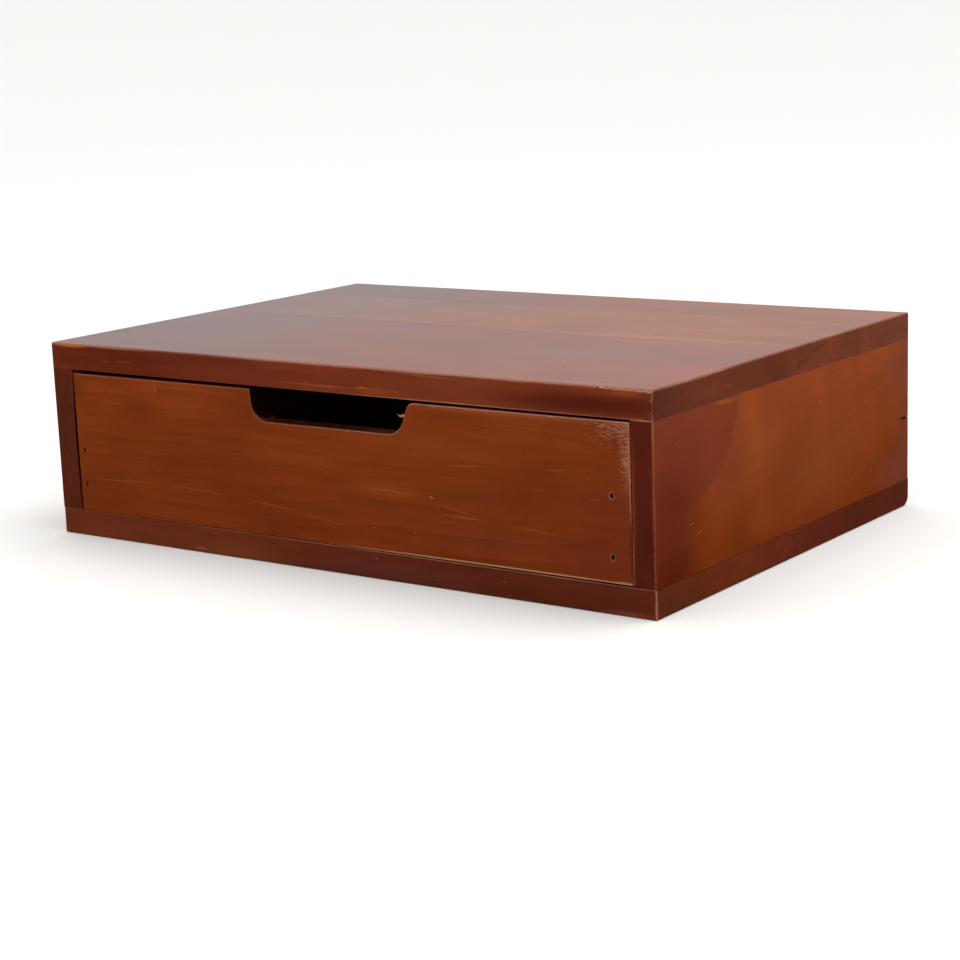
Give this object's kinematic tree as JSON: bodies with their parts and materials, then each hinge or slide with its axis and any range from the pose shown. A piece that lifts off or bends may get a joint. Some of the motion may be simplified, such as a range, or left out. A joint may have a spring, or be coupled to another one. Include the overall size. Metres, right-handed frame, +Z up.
{
  "type": "desktop drawer unit",
  "caption": "Low open-fronted box of stained boards with one drawer that slides out at the front by a finger cut-out in its top edge; papers or a screen can stand on it.",
  "frame": {"origin": "middle of the base, on the surface that the unit stands on", "axes": "+X to the right seen from the front, +Y to the back, +Z up; the drawer opens towards -Y"},
  "size_m": [0.36, 0.25, 0.1],
  "materials": {
    "stained_top": "red-brown stain under satin lacquer, grain from side to side",
    "stained_bottom": "darker red-brown stain under satin lacquer",
    "stained_side": "orange-brown stain under satin lacquer, grain from front to back",
    "stained_drawer_front": "orange-brown stain under satin lacquer, grain from side to side",
    "drawer_box_wood": "thin stain, unlacquered",
    "plywood": "stained rotary-cut ply, matt",
    "brad_steel": "drawn wire, dull",
    "wood_filler": "stained wood filler, matt"
  },
  "bodies": {
    "case": {"top_front_stave": "stained_top", "top_middle_stave": "stained_top", "top_rear_stave": "stained_top", "bottom_front_stave": "stained_bottom", "bottom_middle_stave": "stained_bottom", "bottom_rear_stave": "stained_bottom", "left_side": "stained_side", "right_side": "stained_side", "back_board": "stained_side", "top_brads": "brad_steel", "top_brad_fillings": "wood_filler", "bottom_brads": "brad_steel", "back_board_brads": "brad_steel"},
    "drawer": {"drawer_front": "stained_drawer_front", "drawer_left_side": "drawer_box_wood", "drawer_right_side": "drawer_box_wood", "drawer_back": "drawer_box_wood", "drawer_bottom": "plywood", "left_front_brads": "brad_steel", "right_front_brads": "brad_steel", "drawer_back_brads": "brad_steel", "drawer_bottom_brads": "brad_steel"}
  },
  "joints": [
    {"name": "drawer_slide", "type": "slide", "parent": "case", "child": "drawer", "axis": [0, -1, 0], "range_m": [0, 0.21]}
  ]
}
